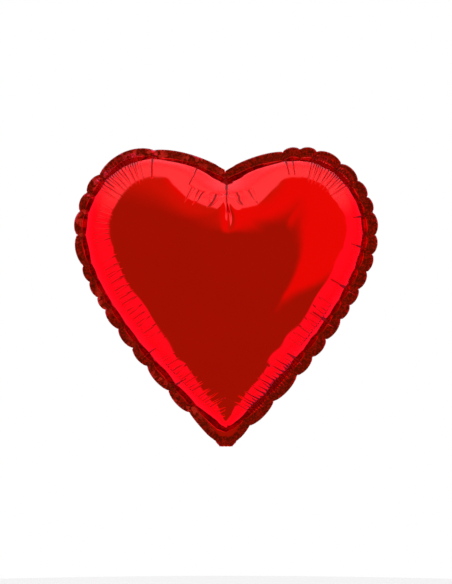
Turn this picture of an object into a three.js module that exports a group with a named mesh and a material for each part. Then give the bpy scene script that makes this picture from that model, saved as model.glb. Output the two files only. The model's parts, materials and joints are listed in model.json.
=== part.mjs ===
// Heart-shaped foil balloon, inflated, with its filling tail folded up behind the tip.
//
// Two heart-shaped foil panels are joined by a sealed edge. Two thin films between them make the
// self-closing valve, which runs from the balloon's inside, through the neck, to the tail's mouth.
// Millimetres. +X is the balloon's right, +Z is up and the front panel faces -Y. The origin is the
// middle of the crease at the neck, where a ribbon is tied and where the tail folds.

import * as THREE from 'three';

// Driving dimensions
const heartWidth = 380;
const heartHeight = 377;
const balloonDepth = 190;
const notchDepth = 30;
const flangeWidth = 12; // the flat sealed edge outside the inflated part
const foilThickness = 0.5;
const filmThickness = 0.3;
const gap = 0.3; // between neighbouring layers
const neckWidth = 16;
const tailWidth = 26;
const tailLength = 54; // from the crease to the mouth
const valveReach = 76; // from the crease to the valve's inner end
const foldClearance = 3.5; // from the crease to the nearest solid on either side
const foldAngle = THREE.MathUtils.degToRad(60); // between the folded tail and the seam plane

// Mesh fineness
const columnsPerHalf = 44;
const domeRings = 9;
const relaxationSweeps = 3000;

// Layers, measured from the seam plane
const filmInside = gap / 2;
const filmOutside = filmInside + filmThickness;
const foilInside = filmOutside + gap;
const foilOutside = foilInside + foilThickness;

// The valve's half-width at the neck, in the tail and at its inner end
const neckSealWidth = 1.2; // the sealed strip on each side of the valve
const tailSealWidth = 3;
const valveNeckHalf = neckWidth / 2 - neckSealWidth - gap;
const valveTailHalf = tailWidth / 2 - tailSealWidth - gap;
const valveInnerHalf = 11;

// Places along the valve and the tail, measured from the crease or from the mouth
const valveNarrowEnd = 18; // the valve widens between these two heights
const valveWideStart = 34;
const tailFlare = 17; // from the crease to where the tail has its full width
const valveFromMouth = 3;
const tailSealFromMouth = 5;

const domeCentre = new THREE.Vector2(0, 0.57 * heartHeight);

function material(color, roughness, metalness) {
  return new THREE.MeshStandardMaterial({ color, roughness, metalness });
}

function foilMaterial() {
  return material(0xd00a12, 0.12, 1.0);
}

function filmMaterial() {
  return material(0xe8e4de, 0.4, 0.0);
}

function sealMaterial() {
  return material(0x7a1210, 0.45, 0.0);
}

// The right half of the heart's outline, from the neck's corner up the flank, round the lobe and
// down into the notch.
function rightOutline() {
  const half = heartWidth / 2;
  const lobeX = 0.505 * half;
  const widestZ = 0.715 * heartHeight;
  const notchZ = heartHeight - notchDepth;
  const neck = new THREE.Vector2(neckWidth / 2, foldClearance);
  const widest = new THREE.Vector2(half, widestZ);
  const lobe = new THREE.Vector2(lobeX, heartHeight);
  const notch = new THREE.Vector2(0, notchZ);
  const path = new THREE.CurvePath();
  path.add(new THREE.CubicBezierCurve(
    neck,
    new THREE.Vector2(0.53 * half, 0.24 * heartHeight),
    new THREE.Vector2(half, 0.53 * heartHeight),
    widest,
  ));
  path.add(new THREE.CubicBezierCurve(
    widest,
    new THREE.Vector2(half, 0.86 * heartHeight),
    new THREE.Vector2(0.78 * half, heartHeight),
    lobe,
  ));
  path.add(new THREE.CubicBezierCurve(
    lobe,
    new THREE.Vector2(0.32 * half, heartHeight),
    new THREE.Vector2(0.13 * half, notchZ + 0.5 * notchDepth),
    notch,
  ));
  return path.getSpacedPoints(columnsPerHalf);
}

// The same outline moved inwards by the flange's width. Points that would cross the middle stop
// just short of it.
function rightSeam(outline) {
  const smallest = 0.8;
  return outline.map((point, i) => {
    if (i === outline.length - 1) {
      return new THREE.Vector2(0, point.y - flangeWidth);
    }
    const before = outline[Math.max(i - 1, 0)];
    const along = outline[i + 1].clone().sub(before).normalize();
    const inward = new THREE.Vector2(-along.y, along.x);
    const moved = point.clone().addScaledVector(inward, flangeWidth);
    moved.x = Math.max(moved.x, smallest);
    return moved;
  });
}

// A right half made into the whole heart, from the neck's right corner round to its left corner.
function bothHalves(right) {
  const left = right.slice(0, -1).reverse().map((point) => new THREE.Vector2(-point.x, point.y));
  return [...right, ...left];
}

// Plan of the panel: the outline, the seam, and rings that shrink from the seam to the dome's
// centre, closer together near the seam, where the dome is steepest.
function panelRings() {
  const right = rightOutline();
  const outline = bothHalves(right);
  const seam = bothHalves(rightSeam(right));
  const rings = [outline, seam];
  for (let k = 1; k < domeRings; k += 1) {
    const scale = Math.cos((Math.PI / 2) * (k / domeRings));
    rings.push(seam.map((point) => domeCentre.clone().lerp(point, scale)));
  }
  return rings;
}

// Triangles of a dish made of rings round one centre point, which is the last vertex.
function dishTriangles(ringCount, columns) {
  const triangles = [];
  for (let r = 0; r < ringCount - 1; r += 1) {
    for (let c = 0; c < columns; c += 1) {
      const next = (c + 1) % columns;
      const a = r * columns + c;
      const b = r * columns + next;
      const d = (r + 1) * columns + c;
      const e = (r + 1) * columns + next;
      triangles.push([a, b, d], [b, e, d]);
    }
  }
  const centre = ringCount * columns;
  for (let c = 0; c < columns; c += 1) {
    const next = (c + 1) % columns;
    triangles.push([centre - columns + c, centre - columns + next, centre]);
  }
  return triangles;
}

// For each vertex, its neighbours and how strongly each one pulls it, by the cotangent rule.
function neighbourPulls(points, triangles) {
  const pulls = points.map(() => new Map());
  const shares = points.map(() => 0);
  for (const triangle of triangles) {
    for (let corner = 0; corner < 3; corner += 1) {
      const at = triangle[corner];
      const from = triangle[(corner + 1) % 3];
      const to = triangle[(corner + 2) % 3];
      const u = points[from].clone().sub(points[at]);
      const v = points[to].clone().sub(points[at]);
      const doubleArea = Math.abs(u.cross(v));
      const pull = u.dot(v) / doubleArea / 2;
      pulls[from].set(to, (pulls[from].get(to) ?? 0) + pull);
      pulls[to].set(from, (pulls[to].get(from) ?? 0) + pull);
      shares[at] += doubleArea / 6;
    }
  }
  return { pulls, shares };
}

// Height of the dome over each point of the plan: the square root of a film evenly loaded and
// held at the seam. That gives a strip a round section and a corner a straight ridge.
function domeHeights(points, triangles, firstFree) {
  const { pulls, shares } = neighbourPulls(points, triangles);
  const load = points.map(() => 0);
  for (let sweep = 0; sweep < relaxationSweeps; sweep += 1) {
    for (let i = firstFree; i < points.length; i += 1) {
      let sum = shares[i];
      let weight = 0;
      for (const [other, pull] of pulls[i]) {
        sum += pull * load[other];
        weight += pull;
      }
      load[i] = sum / weight;
    }
  }
  const highest = Math.max(...load);
  const rise = balloonDepth / 2 - foilOutside;
  return load.map((value) => rise * Math.sqrt(value / highest));
}

// A sheet of even thickness whose outer face is given. The inner face follows it, and a rim
// closes the two along the first ring.
function thickenedDish(outer, triangles, columns) {
  const skin = new THREE.BufferGeometry();
  skin.setAttribute('position', new THREE.Float32BufferAttribute(outer.flatMap((p) => [p.x, p.y, p.z]), 3));
  skin.setIndex(triangles.flat());
  skin.computeVertexNormals();
  const normal = new THREE.Vector3();
  const inner = outer.map((point, i) => {
    normal.fromBufferAttribute(skin.attributes.normal, i);
    return point.clone().addScaledVector(normal, -foilThickness);
  });
  const count = outer.length;
  const faces = triangles.flat();
  for (const [a, b, c] of triangles) {
    faces.push(count + a, count + c, count + b);
  }
  for (let c = 0; c < columns; c += 1) {
    const next = (c + 1) % columns;
    faces.push(c, count + c, next, next, count + c, count + next);
  }
  const solid = new THREE.BufferGeometry();
  const points = [...outer, ...inner].flatMap((p) => [p.x, p.y, p.z]);
  solid.setAttribute('position', new THREE.Float32BufferAttribute(points, 3));
  solid.setIndex(faces);
  solid.computeVertexNormals();
  return solid;
}

// One foil panel, facing -Y: a flat flange at the edge and a dome inside it.
function panelGeometry() {
  const rings = panelRings();
  const columns = rings[0].length;
  const plan = [...rings.flat(), domeCentre];
  const triangles = dishTriangles(rings.length, columns);
  const heights = domeHeights(plan, triangles, 2 * columns);
  const outer = plan.map((point, i) => new THREE.Vector3(point.x, -foilOutside - heights[i], point.y));
  return thickenedDish(outer, triangles, columns);
}

// A flat plate cut to a closed run of [x, z] corners, between two distances from the seam plane.
function flatPlate(corners, nearY, farY) {
  const shape = new THREE.Shape(corners.map(([x, z]) => new THREE.Vector2(x, z)));
  const plate = new THREE.ExtrudeGeometry(shape, { depth: farY - nearY, bevelEnabled: false, steps: 1 });
  plate.rotateX(Math.PI / 2);
  plate.translate(0, farY, 0);
  return plate;
}

// The melted sealing layer between the flanges, open at the neck, where the valve passes.
function edgeSealGeometry() {
  const right = rightOutline();
  const valveEdge = valveNeckHalf + gap;
  const inside = rightSeam(right).map((point, i) => {
    const atNotch = i === right.length - 1;
    return new THREE.Vector2(atNotch ? 0 : Math.max(point.x, valveEdge), point.y);
  });
  // The first inner point comes down to the neck's edge, so that the seal runs beside the valve.
  inside[0].y = right[0].y;
  const outerRun = bothHalves(right);
  const innerRun = bothHalves(inside).reverse();
  const corners = [...outerRun, ...innerRun].map((point) => [point.x, point.y]);
  return flatPlate(corners, -filmOutside, filmOutside);
}

// Corners of a strip symmetrical about x = 0, from its right side's [half-width, z] pairs.
function symmetricStrip(rightSide) {
  const leftSide = rightSide.map(([half, z]) => [-half, z]).reverse();
  return [...rightSide, ...leftSide];
}

function innerValveSide() {
  return [
    [valveNeckHalf, foldClearance],
    [valveNeckHalf, valveNarrowEnd],
    [valveInnerHalf, valveWideStart],
    [valveInnerHalf, valveReach],
  ];
}

// The tail's outlines hang straight down from the crease. The group that holds them folds them up.
function tailValveSide() {
  return [
    [valveTailHalf, -tailLength + valveFromMouth],
    [valveTailHalf, -tailFlare],
    [valveNeckHalf, -foldClearance],
  ];
}

// The tail's right side from its mouth up to the crease, with a rounded corner at the mouth.
function tailSide() {
  const cornerRadius = 4;
  const cornerSteps = 5;
  const half = tailWidth / 2;
  const side = [];
  for (let i = 0; i <= cornerSteps; i += 1) {
    const angle = (Math.PI / 2) * (i / cornerSteps);
    side.push([
      half - cornerRadius + cornerRadius * Math.sin(angle),
      -tailLength + cornerRadius - cornerRadius * Math.cos(angle),
    ]);
  }
  side.push([half, -tailFlare]);
  side.push([neckWidth / 2, -foldClearance]);
  return side;
}

// The sealed strip along one side of the tail, beside the valve.
function tailSealCorners(sign) {
  const sealEnd = -tailLength + tailSealFromMouth;
  const half = tailWidth / 2;
  const right = [
    [half, sealEnd],
    [half, -tailFlare],
    [neckWidth / 2, -foldClearance],
    [valveNeckHalf + gap, -foldClearance],
    [valveTailHalf + gap, -tailFlare],
    [valveTailHalf + gap, sealEnd],
  ];
  return right.map(([x, z]) => [sign * x, z]);
}

function namedMesh(name, geometry, itsMaterial) {
  const mesh = new THREE.Mesh(geometry, itsMaterial);
  mesh.name = name;
  return mesh;
}

function balloonBody() {
  const body = new THREE.Group();
  body.add(namedMesh('front_panel', panelGeometry(), foilMaterial()));
  const backPanel = namedMesh('back_panel', panelGeometry(), foilMaterial());
  backPanel.rotation.z = Math.PI;
  body.add(backPanel);
  body.add(namedMesh('edge_seal', edgeSealGeometry(), sealMaterial()));
  const valve = symmetricStrip(innerValveSide());
  body.add(namedMesh('valve_film_front', flatPlate(valve, -filmOutside, -filmInside), filmMaterial()));
  body.add(namedMesh('valve_film_back', flatPlate(valve, filmInside, filmOutside), filmMaterial()));
  return body;
}

function foldedTail() {
  const tail = new THREE.Group();
  const ply = symmetricStrip(tailSide());
  const valve = symmetricStrip(tailValveSide());
  tail.add(namedMesh('tail_front_ply', flatPlate(ply, -foilOutside, -foilInside), foilMaterial()));
  tail.add(namedMesh('tail_back_ply', flatPlate(ply, foilInside, foilOutside), foilMaterial()));
  for (const [side, sign] of [['right', 1], ['left', -1]]) {
    const seal = flatPlate(tailSealCorners(sign), -filmOutside, filmOutside);
    tail.add(namedMesh(`tail_seal_${side}`, seal, sealMaterial()));
  }
  tail.add(namedMesh('tail_valve_film_front', flatPlate(valve, -filmOutside, -filmInside), filmMaterial()));
  tail.add(namedMesh('tail_valve_film_back', flatPlate(valve, filmInside, filmOutside), filmMaterial()));
  tail.rotation.x = Math.PI - foldAngle;
  return tail;
}

const group = new THREE.Group();
group.add(balloonBody());
group.add(foldedTail());

export default group;
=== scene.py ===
"""Heart-shaped foil balloon: the visual model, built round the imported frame.

The two films are cut flat, joined round their edge and blown up by Blender's Cloth. Their seam and
flat border are then set on the CAD outline, and the scallops, puckers and pleats are added.
"""

import json
import math

import bpy
import numpy as np
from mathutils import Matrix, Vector, noise
from mathutils.geometry import delaunay_2d_cdt


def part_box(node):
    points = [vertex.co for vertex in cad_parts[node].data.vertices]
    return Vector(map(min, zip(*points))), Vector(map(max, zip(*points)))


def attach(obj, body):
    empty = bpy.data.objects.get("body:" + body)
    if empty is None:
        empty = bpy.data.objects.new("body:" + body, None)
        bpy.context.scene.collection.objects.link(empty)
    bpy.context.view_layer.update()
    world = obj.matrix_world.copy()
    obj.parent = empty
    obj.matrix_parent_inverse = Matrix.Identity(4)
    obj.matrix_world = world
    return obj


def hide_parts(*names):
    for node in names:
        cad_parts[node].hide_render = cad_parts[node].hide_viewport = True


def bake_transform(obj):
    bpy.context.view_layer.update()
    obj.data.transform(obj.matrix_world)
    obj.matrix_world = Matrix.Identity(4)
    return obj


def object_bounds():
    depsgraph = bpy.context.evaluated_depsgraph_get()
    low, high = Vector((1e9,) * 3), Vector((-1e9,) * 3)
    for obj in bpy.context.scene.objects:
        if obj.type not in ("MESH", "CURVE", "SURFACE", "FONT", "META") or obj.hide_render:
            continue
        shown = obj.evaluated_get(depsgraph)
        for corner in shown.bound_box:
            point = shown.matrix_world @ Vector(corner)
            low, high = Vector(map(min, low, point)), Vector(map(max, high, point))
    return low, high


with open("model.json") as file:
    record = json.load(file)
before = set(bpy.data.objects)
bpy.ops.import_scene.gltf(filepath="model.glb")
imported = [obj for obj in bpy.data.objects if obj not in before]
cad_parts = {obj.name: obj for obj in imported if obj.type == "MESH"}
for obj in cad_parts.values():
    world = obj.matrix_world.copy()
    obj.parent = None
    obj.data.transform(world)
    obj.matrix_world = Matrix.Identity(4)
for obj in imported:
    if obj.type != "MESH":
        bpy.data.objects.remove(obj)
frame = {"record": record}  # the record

MM = 0.001
CAD_LOW, CAD_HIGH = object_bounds()
SEAL_LOW, SEAL_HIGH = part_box("edge_seal")
HEART_WIDTH = SEAL_HIGH.x - SEAL_LOW.x
HEART_TOP = SEAL_HIGH.z
NECK_Z = SEAL_LOW.z
NECK_HALF = 8.0 * MM
NOTCH_DEPTH = 30.0 * MM

# ------------------------------------------------------------------ the flat pattern

# Film gathers at the seam, so the heart is cut wider and taller than it ends up, and with hardly
# any notch.
CUT_HALF_WIDTH = 249.0 * MM
CUT_WIDEST_Z = 353.0 * MM
CUT_TOP = (88.0 * MM, 513.0 * MM)
CUT_NOTCH_Z = 497.0 * MM
FLANGE = 15.0 * MM  # width of the sealed border, from the cut edge to the seam
FINE_BAND = 30.0 * MM  # how far in from the seam the mesh is finest
MIDDLE_BAND = 70.0 * MM

# Where one scallop ends and the next begins, as shares of the half outline from neck to notch.
LEFT_BREAKS = (
    0.107, 0.171, 0.24, 0.29, 0.34, 0.39, 0.42, 0.457, 0.494, 0.562, 0.614, 0.656, 0.703, 0.836,
)
RIGHT_BREAKS = (
    0.067, 0.14, 0.214, 0.265, 0.312, 0.365, 0.40, 0.44, 0.48, 0.52, 0.562, 0.612, 0.646, 0.686,
    0.737, 0.797, 0.833, 0.869,
)


def bezier(a, b, c, d, steps=120):
    """Points of a cubic curve from a to d."""
    a, b, c, d = (np.array(p, float) for p in (a, b, c, d))
    t = np.linspace(0, 1, steps)[:, None]
    return (1 - t) ** 3 * a + 3 * (1 - t) ** 2 * t * b + 3 * (1 - t) * t**2 * c + t**3 * d


def arc_length(points):
    """Distance along a line of points, from its first one."""
    return np.r_[0, np.cumsum(np.linalg.norm(np.diff(points, axis=0), axis=1))]


def resample(points, count):
    """The same line with count equal steps."""
    along = arc_length(points)
    at = np.linspace(0, along[-1], count + 1)
    return np.stack([np.interp(at, along, points[:, k]) for k in range(points.shape[1])], axis=1)


def half_heart(widest, top, notch, handles):
    """Right half of a heart as (x, z), from the middle of the neck up to the notch.

    Handles has two places for each of its three curves: the side, the lobe and the dip.
    """
    stops = ((NECK_HALF, NECK_Z), widest, top, notch)
    curves = [bezier(a, *pair, b)[1:] for a, pair, b in zip(stops, handles, stops[1:])]
    return np.vstack([[(0, NECK_Z), stops[0]], *curves])


def cut_half():
    """Right half of the cut edge."""
    handles = (
        ((75 * MM, 20 * MM), (CUT_HALF_WIDTH, 215 * MM)),
        ((CUT_HALF_WIDTH, 398 * MM), (214 * MM, CUT_TOP[1])),
        ((43 * MM, CUT_TOP[1]), (7 * MM, 500 * MM)),
    )
    return half_heart((CUT_HALF_WIDTH, CUT_WIDEST_Z), CUT_TOP, (0, CUT_NOTCH_Z), handles)


def heart_half():
    """Right half of the blown-up heart's outline, as in the CAD."""
    half, top = HEART_WIDTH / 2, HEART_TOP
    notch_z = top - NOTCH_DEPTH
    handles = (
        ((0.53 * half, 0.24 * top), (half, 0.53 * top)),
        ((half, 0.86 * top), (0.78 * half, top)),
        ((0.32 * half, top), (0.13 * half, notch_z + 15 * MM)),
    )
    return half_heart((half, 0.715 * top), (0.505 * half, top), (0, notch_z), handles)


def cut_ring(spacing):
    """The whole cut edge, anticlockwise from the middle of the neck, with even spacing."""
    half = cut_half()
    right = resample(half, int(arc_length(half)[-1] / spacing))
    left = right[1:-1][::-1] * (-1, 1)
    return np.vstack([right, left])


def inset(ring, distance):
    """The ring moved inwards by distance."""
    along = np.roll(ring, -1, axis=0) - np.roll(ring, 1, axis=0)
    along /= np.linalg.norm(along, axis=1)[:, None]
    return ring + distance * np.c_[-along[:, 1], along[:, 0]]


def inside(points, ring):
    """Which points lie inside the ring."""
    x, z = points.T
    found = np.zeros(len(points), bool)
    for (x1, z1), (x2, z2) in zip(np.roll(ring, 1, axis=0), ring):
        crosses = (z1 > z) != (z2 > z)
        found ^= crosses & (x < (x2 - x1) * (z - z1) / (z2 - z1 + 1e-30) + x1)
    return found


def distance_to_ring(points, ring):
    """Distance from each point to the ring, and where on the ring it is nearest, in ring steps."""
    nearest = np.zeros(len(points))
    distance = np.full(len(points), np.inf)
    for i, (a, b) in enumerate(zip(ring, np.roll(ring, -1, axis=0))):
        edge = b - a
        t = np.clip(((points - a) @ edge) / (edge @ edge), 0, 1)
        d = np.linalg.norm(points - a - t[:, None] * edge, axis=1)
        closer = d < distance
        nearest[closer] = i + t[closer]
        distance[closer] = d[closer]
    return distance, nearest


def lattice(low, high, spacing):
    """Points of a triangular lattice over a box."""
    rows = []
    for j, z in enumerate(np.arange(low[1], high[1], spacing * math.sqrt(3) / 2)):
        x = np.arange(low[0] + (spacing / 2 if j % 2 else 0), high[0], spacing)
        rows.append(np.c_[x, np.full(len(x), z)])
    return np.vstack(rows)


class Cut:
    """The flat film as a mesh: a sealed border of rows along the cut edge, and the panel inside.

    Points are numbered: seam, front panel, back panel, then the border's rows from the cut edge in.
    """

    def __init__(self, spacing):
        ring = cut_ring(spacing)
        seam = inset(ring, FLANGE)
        self.ring = ring
        self.seam = seam
        self.around = len(ring)
        self.rows = max(2, round(FLANGE / spacing))
        low, high = seam.min(axis=0), seam.max(axis=0)
        # Spacing, and from where to where from the seam: fine where the film gathers, and coarser
        # towards the smooth middle.
        bands = (
            (spacing, 0.75 * spacing, FINE_BAND),
            (2 * spacing, FINE_BAND + 0.4 * spacing, MIDDLE_BAND),
            (3 * spacing, MIDDLE_BAND + 0.5 * spacing, 1.0),
        )
        inner = []
        for step, nearest, furthest in bands:
            points = lattice(low, high, step)
            points = points[inside(points, seam)]
            d, _ = distance_to_ring(points, seam)
            inner.append(points[(d > nearest) & (d <= furthest)])
        corners = np.vstack([seam, *inner])
        loop = [(i, (i + 1) % self.around) for i in range(self.around)]
        made = delaunay_2d_cdt([Vector(p) for p in corners], loop, [], 1, 1e-6)
        self.plan = np.array([tuple(p) for p in made[0]])
        triangles = np.array(made[2])
        a, b, c = (self.plan[triangles[:, k]] for k in range(3))
        clockwise = (b - a)[:, 0] * (c - a)[:, 1] < (b - a)[:, 1] * (c - a)[:, 0]
        triangles[clockwise] = triangles[clockwise][:, [0, 2, 1]]
        self.panel = triangles
        self.panel_points = len(self.plan) - self.around
        self.border_start = self.around + 2 * self.panel_points
        self.depth, self.beside = distance_to_ring(self.plan, seam)
        self.nearest = np.round(self.beside).astype(int) % self.around

    def border_row(self, k):
        """Numbers of the points of border row k, which from k = rows on is the seam."""
        start = self.border_start + k * self.around if k < self.rows else 0
        return start + np.arange(self.around)

    def border_triangles(self):
        """Triangles of the border, row by row from the cut edge in, facing the front."""
        found = []
        for k in range(self.rows):
            a, d = self.border_row(k), self.border_row(k + 1)
            b, c = np.roll(a, -1), np.roll(d, -1)
            odd = (np.arange(self.around) + k) % 2 == 1
            first = np.where(odd[:, None], np.c_[a, b, c], np.c_[a, b, d])
            second = np.where(odd[:, None], np.c_[a, c, d], np.c_[b, c, d])
            found.append(np.stack([first, second], axis=1).reshape(-1, 3))
        return np.vstack(found)

    def back_panel(self):
        """Triangles of the back panel, facing the back."""
        shifted = np.where(self.panel < self.around, self.panel, self.panel + self.panel_points)
        return shifted[:, [0, 2, 1]]

    def flat_points(self):
        """Every point of the cut, laid flat on the seam plane."""
        border = [self.ring + (self.seam - self.ring) * k / self.rows for k in range(self.rows)]
        inner = self.plan[self.around :]
        flat = np.vstack([self.plan, inner, *border])
        return np.c_[flat[:, 0], np.zeros(len(flat)), flat[:, 1]]

    def along(self, step=None):
        """Signed share of the half outline at each ring step: 0 at the neck, 1 at the notch."""
        step = np.arange(self.around) if step is None else step
        share = step / (self.around / 2)
        return np.where(share <= 1, share, share - 2)


def add_object(name, data):
    """A new object of the scene, from a mesh, a camera or a light."""
    thing = bpy.data.objects.new(name, data)
    bpy.context.scene.collection.objects.link(thing)
    return thing


# ------------------------------------------------------------------ blowing it up

# Cloth behaves better on larger things, so the film is blown up at ten times its size.
SIM_SCALE = 10.0
PRESSURE = 5.0
FILM_STIFFNESS = 80.0
FILM_GIVE = 3.0  # resistance to being pressed together, low so that the surface stays smooth
FILM_BENDING = 0.1
BORDER_BENDING = 10.0
START_BULGE = 2.0 * MM
START_BULGE_REACH = 20.0 * MM  # distance from the seam over which it is reached
BREAK_HEIGHT = 1.0 * MM  # how far the film is pushed out of plane where a scallop breaks
BREAK_DRAW = 2.0 * MM  # and how far inwards
BREAK_REACH = 12.0 * MM  # how far from the break, along the edge and in from the seam
LONGEST_SCALLOP = 45.0 * MM
BORDER_SHRINK = 0.16  # share of the border's length that its fine pleats take up
GATHER_REACH = 30.0 * MM  # how far in from the seam they reach
HINGE_WIDTH = 2.5 * MM  # width of the easily bent line at a break
EVEN_ALONG = 55.0 * MM  # how far along the edge the uneven puckers are evened out
EVEN_ACROSS = 3.5 * MM  # and across it
EVEN_DEPTH = 160.0 * MM  # how far in from the seam
NOTCH_VALLEY = (12.0 * MM, 42.0 * MM)  # depth over which the valley under the notch fades
NECK_FLAT = (12.0 * MM, 46.0 * MM)  # distance from the neck over which the films come apart
NECK_TURN = (5.0 * MM, 40.0 * MM)  # and over which the flange turns away from the upright
NOTCH_TURN = (0.0, 25.0 * MM)  # the same below the notch
SEAM_STEER = 40.0 * MM  # how far in from the seam a panel is moved out of plane with it
SEAM_BLUR = 2.0 * MM  # distance within which the points of the seam steer a panel alike
FLANGE_RIGHT = 13.0 * MM  # width of the flange as seen, when blown up
FLANGE_LEFT = 9.0 * MM
NOTCH_FILL = 0.20  # how much fuller the film is below the notch than it was blown up
NOTCH_FILL_BELOW = 22.0 * MM  # where, below the notch
NOTCH_FILL_REACH = 27.0 * MM


def scallop_places(share, side, half_length):
    """For each point: how far through its scallop it is, the scallop's length and the distance to
    the nearest break."""
    through = np.zeros(len(share))
    length = np.zeros(len(share))
    for which, breaks in ((1, RIGHT_BREAKS), (-1, LEFT_BREAKS)):
        stops = np.array((-breaks[0], *breaks, 2 - breaks[-1]))
        chosen = side == which
        k = np.clip(np.searchsorted(stops, share[chosen], "right") - 1, 0, len(stops) - 2)
        through[chosen] = (share[chosen] - stops[k]) / (stops[k + 1] - stops[k])
        length[chosen] = (stops[k + 1] - stops[k]) * half_length
    return through, length, np.minimum(through, 1 - through) * length


def break_shape(cut):
    """For each ring point: out-of-plane push, inward push and bending stiffness share."""
    along = cut.along()
    side = np.where(along > 0, 1, -1)
    half_length = arc_length(cut_half())[-1]
    through, length, gap = scallop_places(np.abs(along), side, half_length)
    near = np.exp(-((gap / BREAK_REACH) ** 2))
    wave = np.cos(2 * np.pi * through)
    push = BREAK_HEIGHT * np.minimum(length / LONGEST_SCALLOP, 1) * (wave * 0.5 + 0.5 * near)
    bending = 1 - 0.9 * np.exp(-((gap / HINGE_WIDTH) ** 2))
    notch_gap = (1 - np.abs(along)) * half_length
    bending = np.minimum(bending, 1 - np.exp(-((notch_gap / HINGE_WIDTH) ** 2)))
    return push, BREAK_DRAW * near, bending


def starting_points(cut, spacing):
    """The cut, bulged by a little and pushed out of plane at the breaks."""
    push, draw, _ = break_shape(cut)
    inward = (cut.seam - cut.ring) / FLANGE
    points = cut.flat_points()
    n, m = cut.around, cut.panel_points
    fade = np.exp(-((cut.depth / BREAK_REACH) ** 2))
    lift = push[cut.nearest] * fade
    shift = (inward * draw[:, None])[cut.nearest] * fade[:, None]
    bulge = START_BULGE * (1 - np.exp(-cut.depth / START_BULGE_REACH))
    moved = np.c_[shift[:, 0], lift, shift[:, 1]]
    points[:n] += moved[:n]
    points[n : n + m] += moved[n:] - np.outer(bulge[n:], (0, 1, 0))
    points[n + m : n + 2 * m] += moved[n:] + np.outer(bulge[n:], (0, 1, 0))
    for k in range(cut.rows):
        row = cut.border_row(k)
        points[row, 0] += inward[:, 0] * draw
        points[row, 2] += inward[:, 1] * draw
        points[row, 1] += push * (1.5 - 0.5 * k / cut.rows)
    points[:, 1] += np.random.default_rng(3).normal(0, 0.05 * spacing, len(points))
    return points


def point_groups(cut):
    """The share of each point in what the gas presses on, in what is stiff and in what shrinks."""
    n, m, end = cut.around, cut.panel_points, cut.border_start
    pressed = np.zeros(end + n * cut.rows)
    pressed[:end] = 1
    stiff = np.zeros_like(pressed)
    for k in range(cut.rows + 1):
        stiff[cut.border_row(k)] = break_shape(cut)[2]
    near_seam = np.exp(-((cut.depth / GATHER_REACH) ** 2))
    near_seam[near_seam <= 0.02] = 0
    gathered = np.ones_like(pressed)
    gathered[: n + m] = near_seam
    gathered[n + m : end] = near_seam[n:]
    return {"pressed": pressed, "stiff": stiff, "gathered": gathered}


CLOTH = {
    "quality": 8,
    "mass": 0.1,
    "air_damping": 1.0,
    "tension_stiffness": FILM_STIFFNESS,
    "compression_stiffness": FILM_GIVE,
    "shear_stiffness": 0.2 * FILM_STIFFNESS,
    "bending_stiffness": FILM_BENDING,
    "bending_stiffness_max": BORDER_BENDING,
    "tension_damping": 5.0,
    "compression_damping": 5.0,
    "shear_damping": 5.0,
    "bending_damping": 0.5,
    "use_pressure": True,
    "uniform_pressure_force": PRESSURE,
    "shrink_min": 0.0,
    "vertex_group_pressure": "pressed",
    "vertex_group_bending": "stiff",
    "vertex_group_shrink": "gathered",
}


def blow_up(cut, spacing, frames):
    """Where the cut's points end up when gas goes in."""
    triangles = np.vstack([cut.panel, cut.back_panel(), cut.border_triangles()])
    start = starting_points(cut, spacing)
    mesh = bpy.data.meshes.new("blow_up")
    mesh.from_pydata((start * SIM_SCALE).tolist(), [], triangles.tolist())
    film = add_object("blow_up", mesh)
    for name, shares in point_groups(cut).items():
        group = film.vertex_groups.new(name=name)
        for point in np.flatnonzero(shares):
            group.add([int(point)], float(shares[point]), "REPLACE")
    cloth = film.modifiers.new("cloth", "CLOTH")
    for key, value in CLOTH.items():
        setattr(cloth.settings, key, value)
    # The gathers come in slowly, or the film is thrown about and tangles.
    for frame_number, shrink in ((1, 0.02), (frames // 2, BORDER_SHRINK)):
        cloth.settings.shrink_max = shrink
        cloth.settings.keyframe_insert("shrink_max", frame=frame_number)
    cloth.settings.effector_weights.gravity = 0
    cloth.collision_settings.use_collision = False
    cloth.collision_settings.use_self_collision = False
    cloth.point_cache.frame_start = 1
    cloth.point_cache.frame_end = frames
    scene = bpy.context.scene
    scene.frame_start, scene.frame_end = 1, frames
    for number in range(1, frames + 1):
        scene.frame_set(number)
    shaped = film.evaluated_get(bpy.context.evaluated_depsgraph_get())
    found = np.empty(3 * len(start))
    shaped.data.vertices.foreach_get("co", found)
    bpy.data.objects.remove(film)
    bpy.data.meshes.remove(mesh)
    scene.frame_set(1)
    return found.reshape(-1, 3) / SIM_SCALE


def smoothstep(value, low, high):
    """0 below low, 1 above high and smooth between."""
    t = np.clip((value - low) / (high - low), 0, 1)
    return t * t * (3 - 2 * t)


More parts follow.
